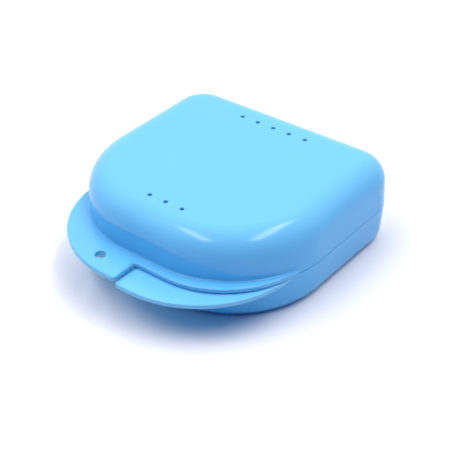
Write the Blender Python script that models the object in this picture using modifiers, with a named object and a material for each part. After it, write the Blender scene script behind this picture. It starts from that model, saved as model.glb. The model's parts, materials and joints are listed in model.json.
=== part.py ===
"""Denture case: a shallow base tray and a deep lid, moulded in glossy plastic and hinged together.

Metres, +Z up. The front, with the two finger lips, faces -Y, and the hinge is at the back. The case
stands on Z = 0, with its origin under the middle of the whole outline, lips and hinge included.
"""
import math

import bmesh
import bpy
from mathutils import Matrix, Vector

MM = 0.001

# Plan of the body, at the parting plane between base and lid
BODY_WIDTH = 76.0 * MM
BODY_DEPTH = 70.2 * MM
FRONT_CORNER_RADIUS = 31.0 * MM
BACK_CORNER_RADIUS = 10.8 * MM

# Base tray
BASE_HEIGHT = 11.9 * MM
BASE_WALL = 2.0 * MM
BASE_FLOOR = 2.0 * MM
BASE_DRAFT = math.radians(4.5)
BASE_EDGE_RADIUS = 4.0 * MM
BASE_INNER_RADIUS = 1.2 * MM
FOOT_WIDTH = 5.0 * MM
FOOT_RECESS = 0.6 * MM

# Lid
LID_HEIGHT = 14.4 * MM
LID_WALL = 2.0 * MM
LID_ROOF = 2.0 * MM
LID_DRAFT = math.radians(2.0)
LID_EDGE_RADIUS = 7.4 * MM
LID_INNER_RADIUS = 5.4 * MM

# Joint between base and lid: a tongue on the base stands inside the lid's thinned skirt
PARTING_GAP = 0.3 * MM
SKIRT_WALL = 0.9 * MM
SKIRT_HEIGHT = 2.6 * MM
TONGUE_HEIGHT = 2.2 * MM
TONGUE_GAP = 0.3 * MM
SNAP_LENGTH = 13.0 * MM
SNAP_RADIUS = 0.7 * MM
SNAP_STAND = 0.4 * MM
SNAP_LEVEL = 1.1 * MM
SNAP_GAP = 0.25 * MM

# Flange round the front: a narrow rim on one half, a wide finger lip on the other
RIM_THICKNESS = 1.4 * MM
RIM_REACH = 2.9 * MM
RIM_RADIUS = 26.5 * MM
RIM_SIDE_INSET = 1.3 * MM
LIP_REACH = 11.5 * MM
LIP_RADIUS = 31.0 * MM
LIP_SIDE_INSET = 2.2 * MM
LIP_STEP_RADIUS = 1.0 * MM
LIP_STEP_OFFSET = 0.4 * MM
FLANGE_DEPTH = 34.0 * MM
FLANGE_EDGE_RADIUS = 0.4 * MM
LANYARD_HOLE_RADIUS = 1.6 * MM
LANYARD_HOLE_X = 10.5 * MM
LANYARD_HOLE_REACH = 5.7 * MM

# Air vents through the lid
VENT_RADIUS = 0.65 * MM
VENT_PITCH = 5.75 * MM
VENT_BACK_DISTANCE = 10.8 * MM
VENT_FRONT_DISTANCE = 10.3 * MM
BACK_VENTS = 5
FRONT_VENTS = 3

# Hinge: lugs on the lid carry pins that snap into ears on the base
HINGE_SPAN = 36.0 * MM
HINGE_OFFSET = 3.4 * MM
EAR_THICKNESS = 2.8 * MM
EAR_RADIUS = 2.8 * MM
EAR_DROP = 6.4 * MM
EAR_CROWN_ANGLE = 135
EAR_CHIN_ANGLE = -60
LUG_THICKNESS = 2.8 * MM
LUG_RADIUS = 2.6 * MM
LUG_RISE = 5.6 * MM
LUG_SHOULDER_ANGLE = 60
HEEL_RADIUS = 0.4 * MM
HINGE_SIDE_GAP = 0.3 * MM
PIN_RADIUS = 1.2 * MM
PIN_GAP = 0.15 * MM
PIN_SINK = 0.4 * MM
PIN_CHAMFER = 0.4 * MM

# Shared
OVERRUN = 0.5 * MM
SMALLEST_RADIUS = 0.2 * MM
WELD_DISTANCE = 0.002 * MM
FRONT_CORNER_STEPS = 14
BACK_CORNER_STEPS = 9
EDGE_STEPS = 7
SMALL_ARC_STEPS = 4
HOLE_SIDES = 24
KNUCKLE_STEPS = 6

# Places that follow from the sizes
TOTAL_DEPTH = LIP_REACH + BODY_DEPTH + HINGE_OFFSET + max(EAR_RADIUS, LUG_RADIUS)
FRONT = -TOTAL_DEPTH / 2 + LIP_REACH
BACK = FRONT + BODY_DEPTH
LID_FOOT = BASE_HEIGHT + PARTING_GAP
LID_TOP = LID_FOOT + LID_HEIGHT
HINGE_Y = BACK + HINGE_OFFSET
HINGE_Z = BASE_HEIGHT + PARTING_GAP / 2


def collection(name):
    made = bpy.data.collections.new(name)
    bpy.context.scene.collection.children.link(made)
    return made


def plastic(name, colour, roughness):
    material = bpy.data.materials.new(name)
    material.use_nodes = True
    shader = material.node_tree.nodes["Principled BSDF"]
    shader.inputs["Base Color"].default_value = (*colour, 1.0)
    shader.inputs["Roughness"].default_value = roughness
    shader.inputs["Metallic"].default_value = 0.0
    return material


def add_object(name, mesh, home):
    made = bpy.data.objects.new(name, mesh)
    home.objects.link(made)
    return made


def arc(centre, radius, start, end, steps):
    """Points of an arc in plan, from one angle to the other, in degrees, ends included."""
    points = []
    for step in range(steps + 1):
        angle = math.radians(start + (end - start) * step / steps)
        points.append((centre[0] + radius * math.cos(angle), centre[1] + radius * math.sin(angle)))
    return points


def body_plan(inset):
    """The body's plan drawn in by an inset, anticlockwise from the right side of the back."""
    side = BODY_WIDTH / 2 - inset
    front, back = FRONT + inset, BACK - inset
    front_radius = max(FRONT_CORNER_RADIUS - inset, SMALLEST_RADIUS)
    back_radius = max(BACK_CORNER_RADIUS - inset, SMALLEST_RADIUS)
    back_x, back_y = side - back_radius, back - back_radius
    front_x, front_y = side - front_radius, front + front_radius
    return (arc((back_x, back_y), back_radius, 0, 90, BACK_CORNER_STEPS)
            + arc((-back_x, back_y), back_radius, 90, 180, BACK_CORNER_STEPS)
            + arc((-front_x, front_y), front_radius, 180, 270, FRONT_CORNER_STEPS)
            + arc((front_x, front_y), front_radius, 270, 360, FRONT_CORNER_STEPS))


def loft(name, sections, home):
    """A closed solid through plan sections, each a height and an inset, from the lowest up."""
    bm = bmesh.new()
    rings = []
    for height, inset in sections:
        rings.append([bm.verts.new((x, y, height)) for x, y in body_plan(inset)])
    for lower, upper in zip(rings, rings[1:]):
        for index in range(len(lower)):
            after = (index + 1) % len(lower)
            bm.faces.new((lower[index], lower[after], upper[after], upper[index]))
    bm.faces.new(reversed(rings[0]))
    bm.faces.new(rings[-1])
    mesh = bpy.data.meshes.new(name)
    bm.to_mesh(mesh)
    bm.free()
    return add_object(name, mesh, home)


def drafted_wall(start, end, start_inset, draft, radius):
    """Heights and insets of a drafted wall and the fillet that turns it into a flat end."""
    way = 1 if end > start else -1
    centre = end - way * radius
    tangent = centre + way * radius * math.sin(draft)
    wall_inset = start_inset + abs(tangent - start) * math.tan(draft)
    centre_inset = wall_inset + radius * math.cos(draft)
    sections = [(start, start_inset)]
    for step in range(EDGE_STEPS + 1):
        angle = draft + (math.pi / 2 - draft) * step / EDGE_STEPS
        sections.append((centre + way * radius * math.sin(angle), centre_inset - radius * math.cos(angle)))
    return sections


def flat_outline(name, points, thickness, home, turn=None):
    """A flat plate: a filled 2D outline given its thickness, centred on its own plane."""
    curve = bpy.data.curves.new(name, "CURVE")
    curve.dimensions = "2D"
    curve.fill_mode = "BOTH"
    curve.extrude = thickness / 2
    spline = curve.splines.new("POLY")
    spline.points.add(len(points) - 1)
    for point, (x, y) in zip(spline.points, points):
        point.co = (x, y, 0, 1)
    spline.use_cyclic_u = True
    guide = add_object(name + "_outline", curve, home)
    bpy.context.view_layer.update()
    mesh = bpy.data.meshes.new_from_object(guide.evaluated_get(bpy.context.evaluated_depsgraph_get()))
    bpy.data.objects.remove(guide)
    bm = bmesh.new()
    bm.from_mesh(mesh)
    bmesh.ops.remove_doubles(bm, verts=bm.verts, dist=WELD_DISTANCE)
    bmesh.ops.recalc_face_normals(bm, faces=bm.faces)
    if turn:
        bm.transform(turn)
    bm.to_mesh(mesh)
    bm.free()
    return add_object(name, mesh, home)


def round_edges(target, width, segments):
    bevel = target.modifiers.new("rounded edges", "BEVEL")
    bevel.width = width
    bevel.segments = segments
    bevel.limit_method = "ANGLE"
    bevel.angle_limit = math.radians(50)


def cylinder(name, radius, length, centre, axis, home):
    """A cylinder centred on a point along an axis."""
    bm = bmesh.new()
    bmesh.ops.create_cone(bm, cap_ends=True, segments=HOLE_SIDES, radius1=radius, radius2=radius,
                          depth=length)
    turn = Vector((0, 0, 1)).rotation_difference(Vector(axis)).to_matrix().to_4x4()
    bm.transform(Matrix.Translation(centre) @ turn)
    mesh = bpy.data.meshes.new(name)
    bm.to_mesh(mesh)
    bm.free()
    return add_object(name, mesh, home)


def combine(target, tool, operation):
    tool.hide_render = True
    tool.display_type = "WIRE"
    boolean = target.modifiers.new(operation.lower() + " " + tool.name, "BOOLEAN")
    boolean.object = tool
    boolean.operation = operation
    boolean.solver = "EXACT"


def flange_half(reach, radius, side_inset):
    """Plan of one half of a flange, from its root at the right side round to the centre line."""
    side = BODY_WIDTH / 2 - side_inset
    radius = min(radius, side - 2 * LIP_STEP_RADIUS - LIP_STEP_OFFSET)
    tip = FRONT - reach
    turned = arc((side - radius, tip + radius), radius, 360, 270, FRONT_CORNER_STEPS)
    return [(side, FRONT + FLANGE_DEPTH)] + turned


def flange_plan(wide_side):
    """Plan of a whole flange whose wide lip is on one side (+1 right, -1 left) of the step.

    The step, where the wide lip ends, is a little to the left of the middle on base and lid alike.
    """
    step = -wide_side * LIP_STEP_OFFSET
    lip = flange_half(LIP_REACH, LIP_RADIUS, LIP_SIDE_INSET)
    rim = flange_half(RIM_REACH, RIM_RADIUS, RIM_SIDE_INSET)
    corner = arc((step + LIP_STEP_RADIUS, FRONT - LIP_REACH + LIP_STEP_RADIUS), LIP_STEP_RADIUS, 270, 180,
                 SMALL_ARC_STEPS)
    hollow = arc((step - LIP_STEP_RADIUS, FRONT - RIM_REACH - LIP_STEP_RADIUS), LIP_STEP_RADIUS, 0, 90,
                 SMALL_ARC_STEPS)
    left = [(-x, y) for x, y in reversed(rim)]
    return [(wide_side * x, y) for x, y in lip + corner + hollow + left]


def flange(name, wide_side, lowest, highest, home):
    """The flange plate of the base or the lid, its outer edges rounded."""
    middle = Matrix.Translation((0, 0, (lowest + highest) / 2))
    plate = flat_outline(name, flange_plan(wide_side), highest - lowest, home, middle)
    round_edges(plate, min(FLANGE_EDGE_RADIUS, RIM_THICKNESS / 3), 2)
    return plate


def parting_cut(name, plane, way, home):
    """A slab that trims a piece flat at the parting plane, above it (way +1) or below it (way -1)."""
    bm = bmesh.new()
    bmesh.ops.create_cube(bm, size=1)
    thickness = BASE_HEIGHT + LID_HEIGHT
    bm.transform(Matrix.Translation((0, 0, plane + way * thickness / 2))
                 @ Matrix.Diagonal((2 * BODY_WIDTH, 2 * TOTAL_DEPTH, thickness, 1)))
    mesh = bpy.data.meshes.new(name)
    bm.to_mesh(mesh)
    bm.free()
    return add_object(name, mesh, home)


def side_profile(name, points, thickness, middle_x, home):
    """A plate that stands in the Y-Z plane, from points given from the hinge's axis."""
    upright = Matrix(((0, 0, 1, middle_x), (1, 0, 0, HINGE_Y), (0, 1, 0, HINGE_Z), (0, 0, 0, 1)))
    return flat_outline(name, points, thickness, home, upright)


def ear_profile():
    """Ear of the base: a round eye on a web that runs down the back wall."""
    wall = -HINGE_OFFSET - OVERRUN
    eye = arc((0, 0), EAR_RADIUS, EAR_CROWN_ANGLE, EAR_CHIN_ANGLE, 2 * KNUCKLE_STEPS)
    top = -PARTING_GAP
    return [(wall, -EAR_DROP), (wall, top), (-HINGE_OFFSET, top)] + eye


def lug_profile():
    """Lug of the lid: an arm down from the back wall to a knuckle with a square heel.

    The heel meets the base's back wall when the lid is open, and stops it there.
    """
    wall = -HINGE_OFFSET - OVERRUN
    crown = arc((0, 0), LUG_RADIUS, LUG_SHOULDER_ANGLE, 0, KNUCKLE_STEPS)
    heel_place = LUG_RADIUS - HEEL_RADIUS
    heel = arc((heel_place, -heel_place), HEEL_RADIUS, 0, -90, SMALL_ARC_STEPS)
    front = arc((0, 0), LUG_RADIUS, 270, 180, KNUCKLE_STEPS)
    foot = PARTING_GAP
    return [(wall, LUG_RISE)] + crown + heel + front + [(-LUG_RADIUS, foot), (wall, foot)]


def ear_middle(side):
    return side * (HINGE_SPAN - EAR_THICKNESS) / 2


def lug_middle(side):
    return side * (HINGE_SPAN / 2 - EAR_THICKNESS - HINGE_SIDE_GAP - LUG_THICKNESS / 2)


def snap_bead(name, radius, extra, home):
    """A bar along the front of the tongue: the bead itself, or the wider groove that clears it."""
    tongue_face = FRONT + SKIRT_WALL + TONGUE_GAP
    centre = (0, tongue_face - SNAP_STAND + SNAP_RADIUS, BASE_HEIGHT + SNAP_LEVEL)
    return cylinder(name, radius, SNAP_LENGTH + extra, centre, (1, 0, 0), home)


def make_base(home, tools):
    outer = drafted_wall(BASE_HEIGHT, 0, 0, BASE_DRAFT, BASE_EDGE_RADIUS)
    base = loft("base", list(reversed(outer)) + [(BASE_HEIGHT + OVERRUN, 0)], home)
    flange_top = BASE_HEIGHT + 2 * OVERRUN
    combine(base, flange("base_flange", 1, BASE_HEIGHT - RIM_THICKNESS, flange_top, tools), "UNION")
    combine(base, parting_cut("base_parting_cut", BASE_HEIGHT, 1, tools), "DIFFERENCE")
    tongue_inset = SKIRT_WALL + TONGUE_GAP
    tongue_top = BASE_HEIGHT + TONGUE_HEIGHT
    tongue = [(BASE_HEIGHT - OVERRUN, tongue_inset), (tongue_top - TONGUE_GAP, tongue_inset),
              (tongue_top, tongue_inset + TONGUE_GAP)]
    combine(base, loft("base_tongue", tongue, tools), "UNION")
    combine(base, snap_bead("base_snap_bead", SNAP_RADIUS, 0, tools), "UNION")
    inner = drafted_wall(BASE_HEIGHT, BASE_FLOOR, BASE_WALL, BASE_DRAFT, BASE_INNER_RADIUS)
    cavity = list(reversed(inner)) + [(tongue_top + OVERRUN, BASE_WALL)]
    combine(base, loft("base_cavity", cavity, tools), "DIFFERENCE")
    recess_inset = outer[-1][1] + FOOT_WIDTH
    recess = [(-OVERRUN, recess_inset - FOOT_RECESS), (0, recess_inset),
              (FOOT_RECESS, recess_inset + FOOT_RECESS)]
    combine(base, loft("base_foot_recess", recess, tools), "DIFFERENCE")
    for side, word in ((-1, "left"), (1, "right")):
        ear = side_profile("ear_" + word, ear_profile(), EAR_THICKNESS, ear_middle(side), tools)
        combine(base, ear, "UNION")
        bore = cylinder("bore_" + word, PIN_RADIUS + PIN_GAP, EAR_THICKNESS + 2 * OVERRUN,
                        (ear_middle(side), HINGE_Y, HINGE_Z), (1, 0, 0), tools)
        combine(base, bore, "DIFFERENCE")
    return base


def hinge_pin(name, side, tools):
    """Pin on the outer face of a lug, with a chamfered end that lets it snap into the ear."""
    root = HINGE_SPAN / 2 - EAR_THICKNESS - HINGE_SIDE_GAP - OVERRUN
    tip = HINGE_SPAN / 2 - PIN_SINK
    middle = (side * (root + tip) / 2, HINGE_Y, HINGE_Z)
    pin = cylinder(name, PIN_RADIUS, tip - root, middle, (1, 0, 0), tools)
    round_edges(pin, PIN_CHAMFER, 1)
    return pin


def vent_places():
    """Centres of the vents: a row near the back of the roof and a shorter one near the front."""
    places = []
    rows = ((BACK_VENTS, BACK - VENT_BACK_DISTANCE), (FRONT_VENTS, FRONT + VENT_FRONT_DISTANCE))
    for count, y in rows:
        for index in range(count):
            places.append(((index - (count - 1) / 2) * VENT_PITCH, y))
    return places


def make_lid(home, tools):
    outer = drafted_wall(LID_FOOT, LID_TOP, 0, LID_DRAFT, LID_EDGE_RADIUS)
    lid = loft("lid", [(LID_FOOT - OVERRUN, 0)] + outer, home)
    flange_foot = LID_FOOT - 2 * OVERRUN
    combine(lid, flange("lid_flange", -1, flange_foot, LID_FOOT + RIM_THICKNESS, tools), "UNION")
    combine(lid, parting_cut("lid_parting_cut", LID_FOOT, -1, tools), "DIFFERENCE")
    for side, word in ((-1, "left"), (1, "right")):
        lug = side_profile("lug_" + word, lug_profile(), LUG_THICKNESS, lug_middle(side), tools)
        combine(lid, lug, "UNION")
        combine(lid, hinge_pin("pin_" + word, side, tools), "UNION")
    inner = drafted_wall(LID_FOOT, LID_TOP - LID_ROOF, LID_WALL, LID_DRAFT, LID_INNER_RADIUS)
    combine(lid, loft("lid_cavity", [(LID_FOOT - OVERRUN, LID_WALL)] + inner, tools), "DIFFERENCE")
    skirt = [(LID_FOOT - 2 * OVERRUN, SKIRT_WALL), (LID_FOOT + SKIRT_HEIGHT, SKIRT_WALL)]
    combine(lid, loft("lid_skirt_rebate", skirt, tools), "DIFFERENCE")
    groove = snap_bead("lid_snap_groove", SNAP_RADIUS + SNAP_GAP, 2 * SNAP_GAP, tools)
    combine(lid, groove, "DIFFERENCE")
    for index, (x, y) in enumerate(vent_places()):
        centre = (x, y, LID_TOP - LID_ROOF / 2)
        name = "vent_%d" % (index + 1)
        vent = cylinder(name, VENT_RADIUS, LID_ROOF + 2 * OVERRUN, centre, (0, 0, 1), tools)
        combine(lid, vent, "DIFFERENCE")
    centre = (-LANYARD_HOLE_X, FRONT - LANYARD_HOLE_REACH, LID_FOOT + RIM_THICKNESS / 2)
    length = RIM_THICKNESS + 2 * OVERRUN
    hole = cylinder("lanyard_hole", LANYARD_HOLE_RADIUS, length, centre, (0, 0, 1), tools)
    combine(lid, hole, "DIFFERENCE")
    return lid


def main():
    for old in list(bpy.data.objects):
        bpy.data.objects.remove(old)
    home = collection("denture case")
    tools = collection("construction tools")
    base = make_base(home, tools)
    base.data.materials.append(plastic("base_plastic", (0.13, 0.46, 0.86), 0.22))
    lid = make_lid(home, tools)
    lid.data.materials.append(plastic("lid_plastic", (0.20, 0.62, 0.96), 0.18))


main()
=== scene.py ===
"""Finish of the denture case: smooth moulded shells, their plastic, the studio and the camera."""
import json
import math

import bmesh
import bpy
from mathutils import Matrix, Vector


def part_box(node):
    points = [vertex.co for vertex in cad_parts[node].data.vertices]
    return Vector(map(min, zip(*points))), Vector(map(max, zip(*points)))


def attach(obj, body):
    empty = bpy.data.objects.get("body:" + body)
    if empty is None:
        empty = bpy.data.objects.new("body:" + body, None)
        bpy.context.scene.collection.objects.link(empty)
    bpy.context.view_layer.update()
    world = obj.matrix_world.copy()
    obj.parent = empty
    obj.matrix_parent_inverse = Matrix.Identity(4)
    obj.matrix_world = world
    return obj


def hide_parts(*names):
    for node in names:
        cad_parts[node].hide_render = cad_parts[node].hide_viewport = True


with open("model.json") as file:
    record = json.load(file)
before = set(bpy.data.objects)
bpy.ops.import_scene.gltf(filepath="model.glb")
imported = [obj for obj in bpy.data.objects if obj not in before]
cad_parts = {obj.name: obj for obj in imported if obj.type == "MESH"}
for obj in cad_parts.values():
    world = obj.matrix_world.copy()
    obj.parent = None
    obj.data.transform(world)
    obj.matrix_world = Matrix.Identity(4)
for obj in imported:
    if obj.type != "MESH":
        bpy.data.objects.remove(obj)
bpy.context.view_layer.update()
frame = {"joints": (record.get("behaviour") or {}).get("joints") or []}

MM = 0.001
BASE_LOW, BASE_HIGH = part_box("base")
LID_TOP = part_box("lid")[1].z
HINGE = Vector(frame["joints"][0]["pos_m"])

# Plan of the body
BODY_WIDTH = BASE_HIGH.x - BASE_LOW.x
LIP_REACH = 11.5 * MM
FRONT = BASE_LOW.y + LIP_REACH
BACK = FRONT + 70.2 * MM
FRONT_CORNER_RADIUS = 31.0 * MM
BACK_CORNER_RADIUS = 10.8 * MM

# Base
BASE_HEIGHT = 11.9 * MM
BASE_WALL = 2.0 * MM
BASE_FLOOR = 2.0 * MM
BASE_DRAFT = math.radians(4.5)
BASE_EDGE_RADIUS = 4.0 * MM
BASE_INNER_RADIUS = 1.2 * MM
FOOT_WIDTH = 5.0 * MM
FOOT_RECESS = 0.6 * MM

# Lid
PARTING_GAP = 0.3 * MM
LID_FOOT = BASE_HEIGHT + PARTING_GAP
LID_WALL = 2.0 * MM
LID_ROOF = 2.0 * MM
LID_DRAFT = math.radians(2.0)
LID_EDGE_RADIUS = 7.4 * MM
LID_INNER_RADIUS = 5.4 * MM

# Tongue, skirt and snap
SKIRT_WALL = 0.9 * MM
SKIRT_HEIGHT = 2.6 * MM
TONGUE_HEIGHT = 2.2 * MM
TONGUE_GAP = 0.3 * MM
TONGUE_ROUND = 0.25 * MM
SNAP_LENGTH = 13.0 * MM
SNAP_RADIUS = 0.7 * MM
SNAP_STAND = 0.4 * MM
SNAP_LEVEL = 1.1 * MM
SNAP_GAP = 0.25 * MM

# Parting faces: the seam between the shut halves is finer than the gap at the hinge
SEAM = 0.1 * MM
BASE_FACE = BASE_HEIGHT + (PARTING_GAP - SEAM) / 2
LID_FACE = LID_FOOT - (PARTING_GAP - SEAM) / 2

# Flange with its finger lip
RIM_THICKNESS = 1.4 * MM
RIM_REACH = 2.9 * MM
RIM_RADIUS = 26.5 * MM
RIM_SIDE_INSET = 1.3 * MM
LIP_RADIUS = 31.0 * MM
LIP_SIDE_INSET = 2.2 * MM
LIP_STEP_RADIUS = 1.0 * MM
LIP_STEP_OFFSET = 0.4 * MM
FLANGE_ROUND = 0.4 * MM
PARTING_ROUND = 0.12 * MM
ROOT_FILLET = 0.5 * MM
LANYARD_HOLE_RADIUS = 1.6 * MM
LANYARD_HOLE_X = 10.5 * MM
LANYARD_HOLE_REACH = 5.7 * MM

# Width of flange below which its roundings shrink with it, and how close to an edge a ring holds it
FADE_WIDTH = 1.2 * MM
SUPPORT = 0.15 * MM

# Where the step between the lips is joined to the straight front, in step radii from the step
STEP_BEFORE, STEP_AFTER = 2.0, 1.5
STEP_TURN_SPAN, STEP_HOLLOW_SPAN = (-1.6, -0.1), (0.0, 1.0)

# Vents and moulding marks
BACK_VENTS = 5
FRONT_VENTS = 3
VENT_RADIUS = 0.65 * MM
VENT_PITCH = 5.75 * MM
VENT_BACK_DISTANCE = 10.8 * MM
VENT_FRONT_DISTANCE = 10.3 * MM
HOLE_ROUND = 0.18 * MM
EJECTOR_RADIUS = 2.0 * MM
EJECTOR_DEPTH = 0.08 * MM
EJECTOR_ROWS = ((23.0 * MM, 44.0 * MM), (-11.0 * MM, 36.0 * MM))
GATE_PLACE = (0.0, 2.6 * MM)
GATE_RADIUS = 2.4 * MM
GATE_DEPTH = 0.35 * MM
GATE_STUB_RADIUS = 0.6 * MM
GATE_STUB_HEIGHT = 0.25 * MM
GATE_STUB_EDGE = 0.04 * MM
GATE_STUB_TIP_SHARE, GATE_STUB_EDGE_SHARE = 0.6, 0.8

# Hinge
HINGE_SPAN = 36.0 * MM
HINGE_OFFSET = HINGE.y - BACK
EAR_THICKNESS = 2.8 * MM
EAR_RADIUS = 2.785 * MM
EAR_DROP = 6.4 * MM
EAR_CROWN_ANGLE, EAR_CHIN_ANGLE = 135, -60
LUG_THICKNESS = 2.8 * MM
LUG_RADIUS = 2.6 * MM
LUG_RISE = 5.6 * MM
LUG_SHOULDER_ANGLE = 60
HEEL_RADIUS = 0.4 * MM
HINGE_SIDE_GAP = 0.3 * MM
HINGE_ROUND = 0.3 * MM
PIN_RADIUS = 1.2 * MM
PIN_GAP = 0.15 * MM
PIN_SINK = 0.4 * MM
PIN_CHAMFER = 0.4 * MM

# Fineness of the shells
CORNER_STEPS = 44
BACK_CORNER_STEPS = 18
STRAIGHT_STEPS = 14
EDGE_STEPS = 14
LOW_EDGE_STEPS = 8
STEP_RISE_STEPS = 4
ROUND_STEPS = 4
BAR_END_STEPS = 6
SHOULDER_STEPS = 12
HEEL_STEPS = 6
KNUCKLE_STEPS = 16
PLATE_EDGE_STEPS = 3
HOLE_SIDES = 48
MARK_SIDES = 40
VENT_SIDES = 32
BAR_SIDES = 32
STUB_SIDES = 24
SHARP_ANGLE = math.radians(32)
OVERRUN = 0.5 * MM
MERGE = 0.0005 * MM

# Plastic of each piece: its colour, a paler one that is painted light on the front flange and the lid's
# top, its roughness and its scuffs
LID_PLASTIC = ((0.098, 0.517, 0.85), (0.148, 0.566, 0.85), 0.15, 0.6)
BASE_PLASTIC = ((0.1, 0.525, 0.86), (0.172, 0.596, 0.865), 0.16, 0.8)
REFRACTION = 1.49
# Height below the lid's top from which its painted light is at full strength
PAINTED_ROOF_LIGHT_BLEND = 1.0 * MM

# Noises in the plastic: scales and details, and what each does to colour, roughness and height
SWIRL_NOISE = (38, 3)
SWIRL_TINT, SWIRL_ROUGHNESS = 0.025, 0.04
GRAIN_NOISE = (2600, 2)
GRAIN_ROUGHNESS, GRAIN_HEIGHT = 0.02, 0.012
WAVE_NOISE = (70, 1)
BUMP_STRENGTH, BUMP_DISTANCE = 0.35, 0.06 * MM

# Fine scratches: turn in degrees, noise scale and the level of the noise that each line follows
SCRATCHES = ((24, 60, 0.5), (-51, 75, 0.52), (78, 66, 0.48))
SCRATCH_STRETCH = 14
SCRATCH_BAND = 0.006
SCRATCH_TINT, SCRATCH_ROUGHNESS, SCRATCH_DEPTH = 1.25, 0.22, 0.03
PATCH_NOISE = (55, 4)
PATCH_START, PATCH_END = 0.45, 0.7

# Studio: the room's light, and two soft boxes as azimuth, elevation, angle of fade-out and level
ROOM_LIGHT = (0.002, 0.012, 0.245)
BOX_COLOUR = (1.0, 0.985, 0.95)
SOFT_BOXES = ((278, 54, 44, 2.17), (164, 54, 46, 2.02))
WHITE = (1, 1, 1, 1)

# Strip lamps, whose streaks show on the lid's front edge: their ends in metres, width and level
LEFT_STRIP = ((-0.48, -0.18, 1.0), (0.04, -0.745, 1.0))
RIGHT_STRIP = ((0.60, -0.24, 1.0), (0.07, 0.56, 1.0))
STRIP_WIDTH = 0.18
STRIP_LEVEL = 5.4

# Floor: the colour that it throws light with, and the one that the camera sees
FLOOR_COLOUR = (0.76, 0.765, 0.77)
FLOOR_SEEN = (0.935, 0.93, 0.87)
FLOOR_ROUGHNESS = 0.6
FLOOR_SHINE = 0.2
FLOOR_HALF_WIDTH = 4
FLOOR_DROP = 0.02 * MM

# Camera, from the edges in the photograph: angles in degrees, lens and sensor in millimetres
CAMERA_AZIMUTH = 39.04
CAMERA_ELEVATION = 35.185
CAMERA_ROLL = -1.128
CAMERA_DISTANCE = 320.2 * MM
CAMERA_TARGET = Vector((11.245, -10.663, 17.117)) * MM
CAMERA_LENS = 92.35
CAMERA_SENSOR = 36
CAMERA_CLIP = 10 * MM


def arc(centre, radius, start, end, steps):
    points = []
    for step in range(steps + 1):
        angle = math.radians(start + (end - start) * step / steps)
        points.append((centre[0] + radius * math.cos(angle), centre[1] + radius * math.sin(angle)))
    return points


def reach_along(point, normal, reach, radius, side_inset):
    """How far a flange stands out from the body at a point of the body's plan, along its normal."""
    x, y = abs(point.x), point.y
    nx, ny = abs(normal.x), normal.y
    side = BODY_WIDTH / 2 - side_inset
    tip = FRONT - reach
    centre = Vector((side - radius, tip + radius))
    if ny < 0:
        straight = (y - tip) / -ny
        if x + nx * straight <= centre.x:
            return straight
    away = Vector((x, y)) - centre
    along = away.dot(Vector((nx, ny)))
    inside = along * along - away.length_squared + radius * radius
    if inside > 0:
        distance = math.sqrt(inside) - along
        if y + ny * distance <= centre.y:
            return max(distance, 0)
    return max((side - x) / nx, 0) if nx > 0 else 0


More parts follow.
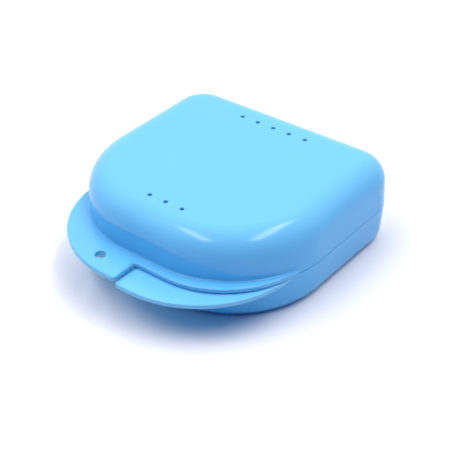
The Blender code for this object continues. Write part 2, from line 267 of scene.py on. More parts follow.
class Stations:
    """Places round the body, anticlockwise, each with its flange edge; the wide lip is on one side."""

    def __init__(self, wide_side):
        self.points, self.normals, self.edges = [], [], []
        self.step_x = wide_side * LIP_STEP_OFFSET
        self.back_and_sides_left()
        self.front_left()
        self.step()
        self.front_right()
        if wide_side > 0:
            for group in (self.points, self.normals, self.edges):
                group.reverse()
                group[:] = [Vector((-item.x, item.y)) for item in group]
        count = len(self.points)
        self.edge_normals, self.fades = [], []
        for index in range(count):
            along = self.edges[(index + 1) % count] - self.edges[index - 1]
            self.edge_normals.append(Vector((along.y, -along.x)).normalized())
            width = (self.edges[index] - self.points[index]).length
            self.fades.append(min(width / FADE_WIDTH, 1))

    def add(self, x, y, normal_angle, lip):
        point = Vector((x, y))
        angle = math.radians(normal_angle)
        normal = Vector((math.cos(angle), math.sin(angle)))
        sizes = (LIP_REACH, LIP_RADIUS, LIP_SIDE_INSET) if lip else (RIM_REACH, RIM_RADIUS, RIM_SIDE_INSET)
        width = reach_along(point, normal, *sizes) if y < FRONT + FRONT_CORNER_RADIUS + RIM_REACH else 0
        self.points.append(point)
        self.normals.append(normal)
        self.edges.append(point + normal * width)

    def corner(self, centre, radius, start, steps, lip):
        for step in range(steps):
            angle = start + 90 * (step + 0.5) / steps
            radians = math.radians(angle)
            x = centre[0] + radius * math.cos(radians)
            y = centre[1] + radius * math.sin(radians)
            self.add(x, y, angle, lip)

    def straight(self, start, end, angle, steps, lip):
        for step in range(steps + 1):
            share = step / steps
            x = start[0] + (end[0] - start[0]) * share
            y = start[1] + (end[1] - start[1]) * share
            self.add(x, y, angle, lip)

    def back_and_sides_left(self):
        side = BODY_WIDTH / 2
        back_x, back_y = side - BACK_CORNER_RADIUS, BACK - BACK_CORNER_RADIUS
        front_y = FRONT + FRONT_CORNER_RADIUS
        self.straight((side, front_y), (side, back_y), 0, STRAIGHT_STEPS, False)
        self.corner((back_x, back_y), BACK_CORNER_RADIUS, 0, BACK_CORNER_STEPS, False)
        self.straight((back_x, BACK), (-back_x, BACK), 90, 2 * STRAIGHT_STEPS, False)
        self.corner((-back_x, back_y), BACK_CORNER_RADIUS, 90, BACK_CORNER_STEPS, False)
        self.straight((-side, back_y), (-side, front_y), 180, STRAIGHT_STEPS, True)

    def front_left(self):
        front_x = BODY_WIDTH / 2 - FRONT_CORNER_RADIUS
        self.corner((-front_x, FRONT + FRONT_CORNER_RADIUS), FRONT_CORNER_RADIUS, 180, CORNER_STEPS, True)
        end = self.step_x - STEP_BEFORE * LIP_STEP_RADIUS
        self.straight((-front_x, FRONT), (end, FRONT), 270, STRAIGHT_STEPS, True)

    def step(self):
        """Where the wide lip ends: round its corner, up the step and into the narrow rim."""
        x, radius = self.step_x, LIP_STEP_RADIUS
        tip, rim = FRONT - LIP_REACH, FRONT - RIM_REACH
        turn = arc((x - radius, tip + radius), radius, 270, 360, 2 * ROUND_STEPS)
        height = rim - tip - 2 * radius
        rise = [(x, tip + radius + height * step / STEP_RISE_STEPS) for step in range(1, STEP_RISE_STEPS)]
        hollow = arc((x + radius, rim - radius), radius, 180, 90, 2 * ROUND_STEPS)
        for places, (start, end) in ((turn + rise, STEP_TURN_SPAN), (hollow, STEP_HOLLOW_SPAN)):
            for index, place in enumerate(places):
                share = index / (len(places) - 1)
                self.points.append(Vector((x + radius * (start + (end - start) * share), FRONT)))
                self.normals.append(Vector((0, -1)))
                self.edges.append(Vector(place))

    def front_right(self):
        front_x = BODY_WIDTH / 2 - FRONT_CORNER_RADIUS
        start = self.step_x + STEP_AFTER * LIP_STEP_RADIUS
        self.straight((start, FRONT), (front_x, FRONT), 270, STRAIGHT_STEPS, False)
        self.corner((front_x, FRONT + FRONT_CORNER_RADIUS), FRONT_CORNER_RADIUS, 270, CORNER_STEPS, False)

    def wall(self, inset, height):
        """A ring drawn in from the body's plan, or out from it where the inset is negative."""
        return [(*(point - normal * inset), height) for point, normal in zip(self.points, self.normals)]

    def faded_wall(self, inset, out, height, rise):
        """A ring close to the wall: out and rise, the root fillet, shrink with the flange."""
        ring = []
        for point, normal, fade in zip(self.points, self.normals, self.fades):
            ring.append((*(point - normal * (inset - out * fade)), height + rise * fade))
        return ring

    def flange_edge(self, share, rise_share, height, way, draft_inset, parting):
        """A ring of the flange's rounded edge.

        share and rise_share are the ring's place in the rounding, in from the edge and away from
        the face at height. way is +1 above that face and -1 below it. The rounding at the parting
        plane goes on, smaller, where the flange has ended; the other one ends with the flange.
        """
        ring = []
        for index, fade in enumerate(self.fades):
            radius = PARTING_ROUND + (FLANGE_ROUND - PARTING_ROUND) * fade
            offset = radius * share * (1 if parting else fade)
            place = self.edges[index] - self.edge_normals[index] * offset
            place -= self.normals[index] * draft_inset * (1 - fade)
            ring.append((*place, height + way * radius * rise_share))
        return ring


def drafted(start, end, start_inset, draft, radius, steps):
    """Insets and heights of a drafted wall and of the fillet that turns it into a flat end."""
    way = 1 if end > start else -1
    centre = end - way * radius
    tangent = centre + way * radius * math.sin(draft)
    wall_inset = start_inset + abs(tangent - start) * math.tan(draft)
    centre_inset = wall_inset + radius * math.cos(draft)
    rows = []
    for step in range(steps + 1):
        angle = draft + (math.pi / 2 - draft) * step / steps
        rows.append((centre_inset - radius * math.cos(angle), centre + way * radius * math.sin(angle)))
    return rows


def shell(name, rings):
    """A closed skin through rings of equal count, with a flat cap on the first and the last."""
    bm = bmesh.new()
    made = [[bm.verts.new(place) for place in ring] for ring in rings]
    for lower, upper in zip(made, made[1:]):
        for index in range(len(lower)):
            after = (index + 1) % len(lower)
            bm.faces.new((lower[index], lower[after], upper[after], upper[index]))
    bm.faces.new(reversed(made[0]))
    bm.faces.new(made[-1])
    bmesh.ops.remove_doubles(bm, verts=bm.verts, dist=MERGE)
    return to_object(name, bm)


def to_object(name, bm):
    mesh = bpy.data.meshes.new(name)
    bm.to_mesh(mesh)
    bm.free()
    piece = bpy.data.objects.new(name, mesh)
    bpy.context.scene.collection.objects.link(piece)
    return piece


def quarter(steps=ROUND_STEPS):
    """Shares of a quarter round, as sine and cosine, from its start to its end."""
    angles = [math.pi / 2 * step / steps for step in range(steps + 1)]
    return [(math.sin(angle), math.cos(angle)) for angle in angles]


def lid_rings():
    at = Stations(-1)
    slope = math.tan(LID_DRAFT)
    ceiling = LID_TOP - LID_ROOF
    inner = drafted(LID_FOOT, ceiling, LID_WALL, LID_DRAFT, LID_INNER_RADIUS, EDGE_STEPS)
    rings = [at.wall(inner[-1][0] + 2 * SUPPORT, ceiling)]
    rings += [at.wall(inset, height) for inset, height in reversed(inner)]
    rebate = LID_FOOT + SKIRT_HEIGHT
    rings.append(at.wall(LID_WALL + SKIRT_HEIGHT * slope, rebate))
    rings.append(at.wall(SKIRT_WALL, rebate))
    rings.append(at.wall(SKIRT_WALL, LID_FACE + PARTING_ROUND))
    rings.append(at.wall(SKIRT_WALL - PARTING_ROUND, LID_FACE))
    top = LID_FOOT + RIM_THICKNESS
    rings.append(at.flange_edge(1 + SUPPORT / FLANGE_ROUND, 0, LID_FACE, 1, 0, True))
    for sine, cosine in quarter():
        rings.append(at.flange_edge(1 - sine, 1 - cosine, LID_FACE, 1, 0, True))
    for sine, cosine in quarter():
        rings.append(at.flange_edge(1 - cosine, 1 - sine, top, -1, RIM_THICKNESS * slope, False))
    rings.append(at.flange_edge(1 + SUPPORT / FLANGE_ROUND, 0, top, -1, RIM_THICKNESS * slope, False))
    for sine, cosine in quarter():
        inset = (RIM_THICKNESS + ROOT_FILLET * (1 - cosine)) * slope
        rings.append(at.faded_wall(inset, ROOT_FILLET * (1 - sine), top, ROOT_FILLET * (1 - cosine)))
    outer = drafted(LID_FOOT, LID_TOP, 0, LID_DRAFT, LID_EDGE_RADIUS, EDGE_STEPS)
    wall_start, wall_end = top + 2 * ROOT_FILLET, outer[0][1]
    for share in (0, 0.5):
        height = wall_start + (wall_end - wall_start) * share
        rings.append(at.wall((height - LID_FOOT) * slope, height))
    rings += [at.wall(inset, height) for inset, height in outer]
    rings.append(at.wall(outer[-1][0] + 2 * SUPPORT, LID_TOP))
    return rings


def base_rings():
    at = Stations(1)
    slope = math.tan(BASE_DRAFT)
    outer = drafted(BASE_HEIGHT, 0, 0, BASE_DRAFT, BASE_EDGE_RADIUS, LOW_EDGE_STEPS)
    foot = outer[-1][0] + FOOT_WIDTH
    rings = [at.wall(foot + FOOT_RECESS + 2 * SUPPORT, FOOT_RECESS)]
    rings += [at.wall(foot + FOOT_RECESS, FOOT_RECESS), at.wall(foot + SUPPORT, SUPPORT)]
    rings += [at.wall(foot, 0), at.wall(foot - 2 * SUPPORT, 0), at.wall(outer[-1][0] + 2 * SUPPORT, 0)]
    rings += [at.wall(inset, height) for inset, height in reversed(outer)]
    low = BASE_HEIGHT - RIM_THICKNESS
    for share in (0.5, 1):
        height = outer[0][1] + (low - 2 * ROOT_FILLET - outer[0][1]) * share
        rings.append(at.wall((BASE_HEIGHT - height) * slope, height))
    for sine, cosine in quarter():
        fall = ROOT_FILLET * (1 - sine)
        rings.append(at.faded_wall((RIM_THICKNESS + fall) * slope, ROOT_FILLET * (1 - cosine), low, -fall))
    low_inset = RIM_THICKNESS * slope
    rings.append(at.flange_edge(1 + SUPPORT / FLANGE_ROUND, 0, low, 1, low_inset, False))
    for sine, cosine in quarter():
        rings.append(at.flange_edge(1 - sine, 1 - cosine, low, 1, low_inset, False))
    for sine, cosine in quarter():
        rings.append(at.flange_edge(1 - cosine, 1 - sine, BASE_FACE, -1, 0, True))
    rings.append(at.flange_edge(1 + SUPPORT / FLANGE_ROUND, 0, BASE_FACE, -1, 0, True))
    tongue = SKIRT_WALL + TONGUE_GAP
    tongue_top = BASE_HEIGHT + TONGUE_HEIGHT
    rings += [at.wall(tongue, BASE_FACE), at.wall(tongue, BASE_FACE + SUPPORT)]
    for sine, cosine in quarter():
        rings.append(at.wall(tongue + TONGUE_ROUND * (1 - cosine), tongue_top - TONGUE_ROUND * (1 - sine)))
    for sine, cosine in quarter():
        inset = BASE_WALL - TONGUE_ROUND * (1 - sine)
        rings.append(at.wall(inset, tongue_top - TONGUE_ROUND * (1 - cosine)))
    rings.append(at.wall(BASE_WALL, BASE_HEIGHT))
    inner = drafted(BASE_HEIGHT, BASE_FLOOR, BASE_WALL, BASE_DRAFT, BASE_INNER_RADIUS, LOW_EDGE_STEPS)
    rings += [at.wall(inset, height) for inset, height in inner]
    rings.append(at.wall(inner[-1][0] + 2 * SUPPORT, BASE_FLOOR))
    return rings


def prism(name, outline, thickness, place, rounding):
    """A flat outline given its thickness, centred on its plane, with rounded edges, then placed."""
    bm = bmesh.new()
    face = bm.faces.new([bm.verts.new((x, y, -thickness / 2)) for x, y in outline])
    grown = bmesh.ops.extrude_face_region(bm, geom=[face])
    tops = [item for item in grown["geom"] if isinstance(item, bmesh.types.BMVert)]
    bmesh.ops.translate(bm, verts=tops, vec=(0, 0, thickness))
    bmesh.ops.recalc_face_normals(bm, faces=bm.faces)
    if rounding:
        rims = [edge for edge in bm.edges if abs(edge.verts[0].co.z - edge.verts[1].co.z) < MERGE]
        bmesh.ops.bevel(bm, geom=rims, offset=rounding, segments=PLATE_EDGE_STEPS, affect="EDGES",
                        profile=0.5)
    bm.transform(place)
    return to_object(name, bm)


def turned(name, profile, axis_place, sides=HOLE_SIDES):
    """A closed turned solid from radius and height pairs that run up its side."""
    bm = bmesh.new()
    rings = []
    for radius, height in profile:
        angles = [2 * math.pi * side / sides for side in range(sides)]
        rings.append([bm.verts.new((radius * math.cos(a), radius * math.sin(a), height)) for a in angles])
    for lower, upper in zip(rings, rings[1:]):
        for index in range(sides):
            after = (index + 1) % sides
            bm.faces.new((lower[index], lower[after], upper[after], upper[index]))
    bm.faces.new(reversed(rings[0]))
    bm.faces.new(rings[-1])
    bm.transform(axis_place)
    return to_object(name, bm)


def combine(piece, tool, operation):
    """Joins a tool to a piece or cuts it out, and leaves plain mesh."""
    boolean = piece.modifiers.new(operation, "BOOLEAN")
    boolean.object = tool
    boolean.operation = operation
    boolean.solver = "EXACT"
    bake(piece)
    bpy.data.objects.remove(tool)


def bake(piece):
    """Applies a piece's modifiers."""
    bpy.context.view_layer.update()
    evaluated = piece.evaluated_get(bpy.context.evaluated_depsgraph_get())
    mesh = bpy.data.meshes.new_from_object(evaluated)
    old = piece.data
    piece.modifiers.clear()
    piece.data = mesh
    bpy.data.meshes.remove(old)


def cutter_row_tree():
    """Geometry nodes that stand copies of a cutter in a straight row along X about a middle."""
    tree = bpy.data.node_groups.new("cutter row", "GeometryNodeTree")
    for name, kind in (("Geometry", "NodeSocketGeometry"), ("Cutter", "NodeSocketObject"),
                       ("Count", "NodeSocketInt"), ("Pitch", "NodeSocketFloat"),
                       ("Middle", "NodeSocketVector"), ("Finish", "NodeSocketMaterial")):
        tree.interface.new_socket(name, in_out="INPUT", socket_type=kind)
    tree.interface.new_socket("Geometry", in_out="OUTPUT", socket_type="NodeSocketGeometry")
    nodes = Nodes(tree)
    given = tree.nodes.new("NodeGroupInput").outputs
    cutter, count, pitch, middle, finish = (
        Value(nodes, given[name]) for name in ("Cutter", "Count", "Pitch", "Middle", "Finish"))
    offset = nodes.node("ShaderNodeCombineXYZ", {}, {"X": pitch})
    back = nodes.node("ShaderNodeCombineXYZ", {}, {"X": (1 - count) * pitch * 0.5})
    start = nodes.node("ShaderNodeVectorMath", {"operation": "ADD"}, {0: middle, 1: back})
    line = nodes.node("GeometryNodeMeshLine", {}, {"Count": count, "Start Location": start,
                                                   "Offset": offset}, "Mesh")
    shape = nodes.node("GeometryNodeObjectInfo", {}, {"Object": cutter}, "Geometry")
    copies = nodes.node("GeometryNodeInstanceOnPoints", {}, {"Points": line, "Instance": shape})
    real = nodes.node("GeometryNodeRealizeInstances", {}, {"Geometry": copies})
    made = nodes.node("GeometryNodeSetMaterial", {}, {"Geometry": real, "Material": finish})
    nodes.feed(tree.nodes.new("NodeGroupOutput").inputs["Geometry"], made)
    return tree


def cutter_row(tree, cutter, count, pitch, middle, finish):
    """One row of cutters as plain mesh."""
    row = to_object("cutter_row", bmesh.new())
    modifier = row.modifiers.new("row", "NODES")
    modifier.node_group = tree
    values = {"Cutter": cutter, "Count": count, "Pitch": pitch, "Middle": middle, "Finish": finish}
    for item in tree.interface.items_tree:
        if item.in_out == "INPUT" and item.name in values:
            modifier[item.identifier] = values[item.name]
    bake(row)
    return row


def lug_outline():
    wall = -HINGE_OFFSET - OVERRUN
    crown = arc((0, 0), LUG_RADIUS, LUG_SHOULDER_ANGLE, 0, SHOULDER_STEPS)
    place = LUG_RADIUS - HEEL_RADIUS
    heel = arc((place, -place), HEEL_RADIUS, 0, -90, HEEL_STEPS)
    front = arc((0, 0), LUG_RADIUS, 270, 180, KNUCKLE_STEPS)
    return [(wall, LUG_RISE)] + crown + heel + front + [(-LUG_RADIUS, PARTING_GAP), (wall, PARTING_GAP)]


def ear_outline():
    wall = -HINGE_OFFSET - OVERRUN
    eye = arc((0, 0), EAR_RADIUS, EAR_CROWN_ANGLE, EAR_CHIN_ANGLE, 2 * KNUCKLE_STEPS)
    return [(wall, -EAR_DROP), (wall, -PARTING_GAP), (-HINGE_OFFSET, -PARTING_GAP)] + eye


def beside_hinge(middle_x):
    """Stands a plate that was drawn flat in the plane square to the hinge."""
    return Matrix(((0, 0, 1, middle_x), (1, 0, 0, HINGE.y), (0, 1, 0, HINGE.z), (0, 0, 0, 1)))


def along_x(middle):
    return Matrix.Translation(middle) @ Matrix.Rotation(math.pi / 2, 4, "Y")


def snap_bar(name, radius, extra):
    """The snap bead, or the groove that clears it: a bar with rounded ends along the tongue."""
    face = FRONT + SKIRT_WALL + TONGUE_GAP
    half = SNAP_LENGTH / 2 + extra
    end = quarter(BAR_END_STEPS)
    profile = [(radius * sine, -half + radius * (1 - cosine)) for sine, cosine in end[1:]]
    profile += [(radius * cosine, half - radius * (1 - sine)) for sine, cosine in end[:-1]]
    middle = (0, face - SNAP_STAND + SNAP_RADIUS, BASE_HEIGHT + SNAP_LEVEL)
    return turned(name, profile, along_x(middle), BAR_SIDES)


def through_hole(radius, low, high, rounding):
    """Side of a cutter whose hole has rounded mouths at both faces."""
    profile = [(radius + rounding, low - OVERRUN)]
    for sine, cosine in quarter():
        profile.append((radius + rounding * (1 - sine), low + rounding * (1 - cosine)))
    for sine, cosine in quarter():
        profile.append((radius + rounding * (1 - cosine), high - rounding * (1 - sine)))
    return profile + [(radius + rounding, high + OVERRUN)]


def recess(name, radius, face, depth, rounding):
    """Cutter of a round recess of a depth into a face; a negative depth goes down into it."""
    way = 1 if depth > 0 else -1
    profile = [(radius + rounding, face - way * OVERRUN), (radius + rounding, face)]
    for sine, cosine in quarter()[1:]:
        profile.append((radius + rounding * (1 - sine), face + way * rounding * (1 - cosine)))
    profile.append((radius, face + depth))
    return turned(name, profile if way > 0 else profile[::-1], Matrix(), MARK_SIDES)


def ejector_marks(piece, tree, face, depth, finish):
    """Two pairs of shallow round marks that the mould's ejector pins leave."""
    pin = recess("ejector_pin", EJECTOR_RADIUS, face, depth, abs(depth) / 2)
    for y, pitch in EJECTOR_ROWS:
        combine(piece, cutter_row(tree, pin, 2, -pitch, (0, y, 0), finish), "DIFFERENCE")
    bpy.data.objects.remove(pin)


def gate_mark(piece):
    """Where the plastic was let into the mould of the base: a dish in the underside with a cut stub."""
    place = Matrix.Translation((*GATE_PLACE, 0))
    dish = recess("gate_dish", GATE_RADIUS, FOOT_RECESS, GATE_DEPTH, GATE_DEPTH / 2)
    dish.data.transform(place)
    combine(piece, dish, "DIFFERENCE")
    roof = FOOT_RECESS + GATE_DEPTH
    tip = roof - GATE_STUB_HEIGHT
    stub = [(GATE_STUB_RADIUS * GATE_STUB_TIP_SHARE, tip),
            (GATE_STUB_RADIUS * GATE_STUB_EDGE_SHARE, tip + GATE_STUB_EDGE),
            (GATE_STUB_RADIUS, roof + OVERRUN)]
    combine(piece, turned("gate_stub", stub, place, STUB_SIDES), "UNION")


def smooth(piece):
    """Smooth shading with normals that follow the larger faces, so that flats stay flat."""
    piece.data.shade_smooth()
    piece.data.set_sharp_from_angle(angle=SHARP_ANGLE)
    weighted = piece.modifiers.new("weighted", "WEIGHTED_NORMAL")
    weighted.mode = "FACE_AREA"
    weighted.keep_sharp = True
    bake(piece)


def make_lid(tree, finish):
    lid = shell("lid_shell", lid_rings())
    for side in (-1, 1):
        middle = side * (HINGE_SPAN / 2 - EAR_THICKNESS - HINGE_SIDE_GAP - LUG_THICKNESS / 2)
        lug = prism("lug", lug_outline(), LUG_THICKNESS, beside_hinge(middle), HINGE_ROUND)
        combine(lid, lug, "UNION")
        root = HINGE_SPAN / 2 - EAR_THICKNESS - HINGE_SIDE_GAP - OVERRUN
        tip = HINGE_SPAN / 2 - PIN_SINK
        profile = [(PIN_RADIUS, root), (PIN_RADIUS, tip - PIN_CHAMFER), (PIN_RADIUS - PIN_CHAMFER, tip)]
        turn = Matrix.Translation((0, HINGE.y, HINGE.z)) @ Matrix.Rotation(side * math.pi / 2, 4, "Y")
        combine(lid, turned("pin", profile, turn), "UNION")
    combine(lid, snap_bar("groove", SNAP_RADIUS + SNAP_GAP, SNAP_GAP), "DIFFERENCE")
    mouths = through_hole(VENT_RADIUS, LID_TOP - LID_ROOF, LID_TOP, HOLE_ROUND)
    vent = turned("vent", mouths, Matrix(), VENT_SIDES)
    for count, y in ((BACK_VENTS, BACK - VENT_BACK_DISTANCE), (FRONT_VENTS, FRONT + VENT_FRONT_DISTANCE)):
        combine(lid, cutter_row(tree, vent, count, -VENT_PITCH, (0, y, 0), finish), "DIFFERENCE")
    bpy.data.objects.remove(vent)
    place = Matrix.Translation((-LANYARD_HOLE_X, FRONT - LANYARD_HOLE_REACH, 0))
    hole = through_hole(LANYARD_HOLE_RADIUS, LID_FACE, LID_FOOT + RIM_THICKNESS, HOLE_ROUND)
    combine(lid, turned("lanyard_hole", hole, place), "DIFFERENCE")
    ejector_marks(lid, tree, LID_TOP - LID_ROOF, EJECTOR_DEPTH, finish)
    smooth(lid)
    return lid


def make_base(tree, finish):
    base = shell("base_shell", base_rings())
    for side in (-1, 1):
        middle = side * (HINGE_SPAN - EAR_THICKNESS) / 2
        ear = prism("ear", ear_outline(), EAR_THICKNESS, beside_hinge(middle), HINGE_ROUND)
        combine(base, ear, "UNION")
        half = EAR_THICKNESS / 2
        bore = through_hole(PIN_RADIUS + PIN_GAP, -half, half, HOLE_ROUND / 2)
        combine(base, turned("bore", bore, along_x((middle, HINGE.y, HINGE.z))), "DIFFERENCE")
    combine(base, snap_bar("bead", SNAP_RADIUS, 0), "UNION")
    ejector_marks(base, tree, BASE_FLOOR, -EJECTOR_DEPTH, finish)
    gate_mark(base)
    smooth(base)
    return base


class Value:
    """A node's output that can be used in sums."""

    def __init__(self, nodes, socket):
        self.nodes, self.socket = nodes, socket

    def sum(self, operation, first, second):
        return self.nodes.node("ShaderNodeMath", {"operation": operation}, {0: first, 1: second})

    def __add__(self, other):
        return self.sum("ADD", self, other)

    def __mul__(self, other):
        return self.sum("MULTIPLY", self, other)

    def __sub__(self, other):
        return self.sum("SUBTRACT", self, other)

    def __rsub__(self, other):
        return self.sum("SUBTRACT", other, self)

    def most(self, other):
        return self.sum("MAXIMUM", self, other)

    def size(self):
        return self.sum("ABSOLUTE", self, 0)

    def power(self, other):
        return self.sum("POWER", self, other)

    __radd__, __rmul__ = __add__, __mul__


class Nodes:
    """A node tree under construction."""

    def __init__(self, tree):
        self.tree = tree

    def node(self, kind, settings=None, sockets=None, output=0):
        """Adds a node: settings first, then values or links for its sockets."""
        made = self.tree.nodes.new(kind)
        for key, value in (settings or {}).items():
            if key == "stops":
                self.set_stops(made.color_ramp, value)
            else:
                setattr(made, key, value)
        for key, value in (sockets or {}).items():
            self.feed(made.inputs[key], value)
        return Value(self, made.outputs[output])

    def set_stops(self, ramp, stops):
        while len(ramp.elements) < len(stops):
            ramp.elements.new(1)
        for element, (position, level) in zip(ramp.elements, stops):
            element.position = position
            element.color = (level, level, level, 1)

    def feed(self, socket, value):
        if isinstance(value, Value):
            self.tree.links.new(value.socket, socket)
        else:
            socket.default_value = value

    def mix(self, factor, first, second):
        """A colour between two."""
        made = self.tree.nodes.new("ShaderNodeMix")
        made.data_type = "RGBA"
        colours = [socket for socket in made.inputs if socket.type == "RGBA"]
        for socket, value in zip([made.inputs["Factor"]] + colours, (factor, first, second)):
            self.feed(socket, value)
        return Value(self, [socket for socket in made.outputs if socket.type == "RGBA"][0])

    def seen(self):
        """1 where the camera, a reflection or a clear piece sees a thing, 0 for the light it gives."""
        camera, gloss, clear = (self.node("ShaderNodeLightPath", output="Is %s Ray" % ray)
                                for ray in ("Camera", "Glossy", "Transmission"))
        return camera.most(gloss).most(clear)


class Finish(Nodes):
    """A material under construction."""

    def __init__(self, name):
        self.material = bpy.data.materials.new(name)
        self.material.use_nodes = True
        super().__init__(self.material.node_tree)
        self.shader = self.tree.nodes["Principled BSDF"]


def shade(nodes, colour, gain):
    """A colour made lighter or darker."""
    return nodes.node("ShaderNodeVectorMath", {"operation": "SCALE"}, {0: colour, "Scale": gain})


def between(nodes, value, start, end, level=1):
    """0 up to a start, a level from an end on, and a soft change between them."""
    return nodes.node("ShaderNodeMapRange", {"interpolation_type": "SMOOTHSTEP"},
                      {"Value": value, "From Min": start, "From Max": end, "To Max": level})


def painted_light_places(finish, place, roof):
    """Painted light: 1 on the flange, out of the body's plan, and on the lid's roof, where the plastic is
    painted paler.
    """
    x, y, z = (finish.node("ShaderNodeSeparateXYZ", {}, {0: place}, axis) for axis in "XYZ")
    aside = (x.size() - (BODY_WIDTH / 2 - FRONT_CORNER_RADIUS)).most(0)
    ahead = (FRONT + FRONT_CORNER_RADIUS - y).most(0)
    away = (aside * aside + ahead * ahead).power(0.5)
    # thin is painted light on the front flange, full at a fade width out of the body's plan
    thin = between(finish, away, FRONT_CORNER_RADIUS, FRONT_CORNER_RADIUS + FADE_WIDTH)
    # With roof, painted light also on the lid's roof and the top of its rounded edge
    return thin.most(between(finish, z, LID_TOP - LID_EDGE_RADIUS, LID_TOP - PAINTED_ROOF_LIGHT_BLEND)) if roof else thin


def moulded_plastic(name, colour, painted_light_colour, roughness, scuff, roof):
    """Glossy moulded polypropylene: painted light on the flange and the roof, a faint swirl, fine
    scratches and soft waves.
    """
    finish = Finish(name)
    place = finish.node("ShaderNodeTexCoord", output="Object")

    def noise(scale, detail, vector=place):
        return finish.node("ShaderNodeTexNoise", {}, {"Vector": vector, "Scale": scale, "Detail": detail})

    def scratches(turn, scale, level):
        """Fine lines one way: a thin band of a long stretched noise."""
        stretched = finish.node("ShaderNodeMapping", {}, {
            "Vector": place, "Rotation": (0, 0, math.radians(turn)),
            "Scale": (1, SCRATCH_STRETCH, SCRATCH_STRETCH)})
        stops = [(level - SCRATCH_BAND, 0), (level, 1), (level + SCRATCH_BAND, 0)]
        return finish.node("ShaderNodeValToRGB", {"stops": stops}, {"Fac": noise(scale, 1, stretched)})

    swirl, grain, wave = noise(*SWIRL_NOISE), noise(*GRAIN_NOISE), noise(*WAVE_NOISE)
    patches = finish.node("ShaderNodeValToRGB", {"stops": [(PATCH_START, 0), (PATCH_END, 1)]},
                          {"Fac": noise(*PATCH_NOISE)})
    first, second, third = (scratches(*lines) for lines in SCRATCHES)
    scratch = (first + second + third) * patches
    # plain is the colour with painted light: the paler one on the flange and, with roof, on the lid's top
    plain = finish.mix(painted_light_places(finish, place, roof), colour + (1,), painted_light_colour + (1,))
    swirled = finish.mix(swirl, shade(finish, plain, 1 - SWIRL_TINT), shade(finish, plain, 1 + SWIRL_TINT))
    worn = finish.mix(scratch * scuff, swirled, shade(finish, plain, SCRATCH_TINT))
    finish.feed(finish.shader.inputs["Base Color"], worn)
    rough = roughness + (swirl - 0.5) * SWIRL_ROUGHNESS + scratch * (SCRATCH_ROUGHNESS * scuff)
    finish.feed(finish.shader.inputs["Roughness"], rough + grain * GRAIN_ROUGHNESS)
    height = wave + grain * GRAIN_HEIGHT - scratch * (SCRATCH_DEPTH * scuff)
    bump = finish.node("ShaderNodeBump", {}, {"Height": height, "Strength": BUMP_STRENGTH,
                                              "Distance": BUMP_DISTANCE})
    finish.feed(finish.shader.inputs["Normal"], bump)
    finish.shader.inputs["IOR"].default_value = REFRACTION
    return finish.material


def floor_material():
    finish = Finish("studio_floor")
    colour = finish.mix(finish.seen(), FLOOR_COLOUR + (1,), FLOOR_SEEN + (1,))
    finish.feed(finish.shader.inputs["Base Color"], colour)
    finish.shader.inputs["Roughness"].default_value = FLOOR_ROUGHNESS
    finish.shader.inputs["Specular IOR Level"].default_value = FLOOR_SHINE
    return finish.material


def make_floor():
    bm = bmesh.new()
    bmesh.ops.create_grid(bm, x_segments=1, y_segments=1, size=FLOOR_HALF_WIDTH)
    bm.transform(Matrix.Translation((0, 0, -FLOOR_DROP)))
    floor = to_object("studio_floor", bm)
    floor.data.materials.append(floor_material())


def make_world():
    """A dim room with two large soft boxes above and behind; the camera and gloss see it white."""
    world = bpy.data.worlds.new("studio")
    bpy.context.scene.world = world
    world.use_nodes = True
    sky = Nodes(world.node_tree)
    way = sky.node("ShaderNodeTexCoord", output="Generated")
    boxes = 0
    for azimuth, elevation, spread, level in SOFT_BOXES:
        along = sky.node("ShaderNodeVectorMath", {"operation": "DOT_PRODUCT"},
                         {0: way, 1: direction(azimuth, elevation)}, "Value")
        boxes = boxes + between(sky, along, math.cos(math.radians(spread)), 1, level)
    light = sky.node("ShaderNodeVectorMath", {"operation": "ADD"},
                     {0: shade(sky, BOX_COLOUR, boxes), 1: ROOM_LIGHT})
    around = world.node_tree.nodes["Background"]
    sky.feed(around.inputs["Color"], sky.mix(sky.seen(), light, WHITE))


def direction(azimuth, elevation):
    """Unit vector towards a place: azimuth 0 is the front, 90 the right side."""
    a, e = math.radians(azimuth), math.radians(elevation)
    return Vector((math.sin(a) * math.cos(e), -math.cos(a) * math.cos(e), math.sin(e)))


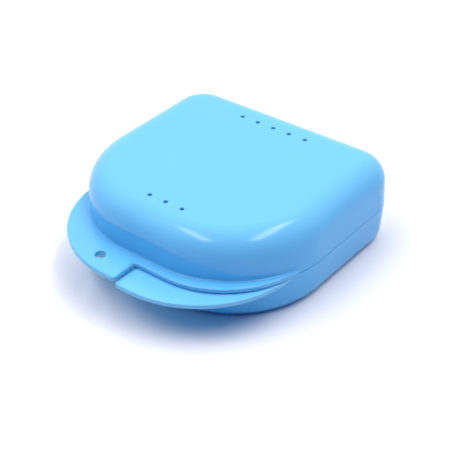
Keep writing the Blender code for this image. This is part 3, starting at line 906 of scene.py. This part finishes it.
def strip_lamp(name, start, end):
    """A long soft lamp between two places that faces the object; level 1 is as bright as white."""
    start, end = Vector(start), Vector(end)
    middle = (start + end) / 2
    length = (end - start).length
    back = middle.normalized()
    along = (end - start).normalized()
    along = (along - back * along.dot(back)).normalized()
    lamp = bpy.data.lights.new(name, "AREA")
    lamp.shape = "RECTANGLE"
    lamp.size, lamp.size_y = length, STRIP_WIDTH
    lamp.energy = math.pi * length * STRIP_WIDTH * STRIP_LEVEL
    holder = bpy.data.objects.new(name, lamp)
    bpy.context.scene.collection.objects.link(holder)
    axes = Matrix((along, back.cross(along), back)).transposed()
    holder.matrix_world = Matrix.Translation(middle) @ axes.to_4x4()


def make_lights():
    strip_lamp("left_strip", *LEFT_STRIP)
    strip_lamp("right_strip", *RIGHT_STRIP)


def make_camera():
    data = bpy.data.cameras.new("camera")
    data.lens = CAMERA_LENS
    data.sensor_width = CAMERA_SENSOR
    data.clip_start = CAMERA_CLIP
    camera = bpy.data.objects.new("camera", data)
    bpy.context.scene.collection.objects.link(camera)
    back = direction(CAMERA_AZIMUTH, CAMERA_ELEVATION)
    right = direction(CAMERA_AZIMUTH + 90, 0)
    up = back.cross(right)
    turn = Matrix.Rotation(math.radians(CAMERA_ROLL), 3, back)
    frame_axes = Matrix((turn @ right, turn @ up, back)).transposed()
    camera.matrix_world = Matrix.Translation(CAMERA_TARGET + back * CAMERA_DISTANCE) @ frame_axes.to_4x4()
    bpy.context.scene.camera = camera


def main():
    # roof=True puts painted light on the lid's top as well as on its flange
    lid_finish = moulded_plastic("lid_plastic", *LID_PLASTIC, roof=True)
    base_finish = moulded_plastic("base_plastic", *BASE_PLASTIC, roof=False)
    tree = cutter_row_tree()
    lid = make_lid(tree, lid_finish)
    base = make_base(tree, base_finish)
    for piece, finish, body, node, slot in ((lid, lid_finish, "lid_body", "lid", "lid_plastic"),
                                            (base, base_finish, "base_body", "base", "base_plastic")):
        piece.data.materials.clear()
        piece.data.materials.append(finish)
        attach(piece, body)
        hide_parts(node)
    make_floor()
    make_world()
    make_lights()
    make_camera()
    bpy.context.scene.view_settings.view_transform = "Standard"


main()
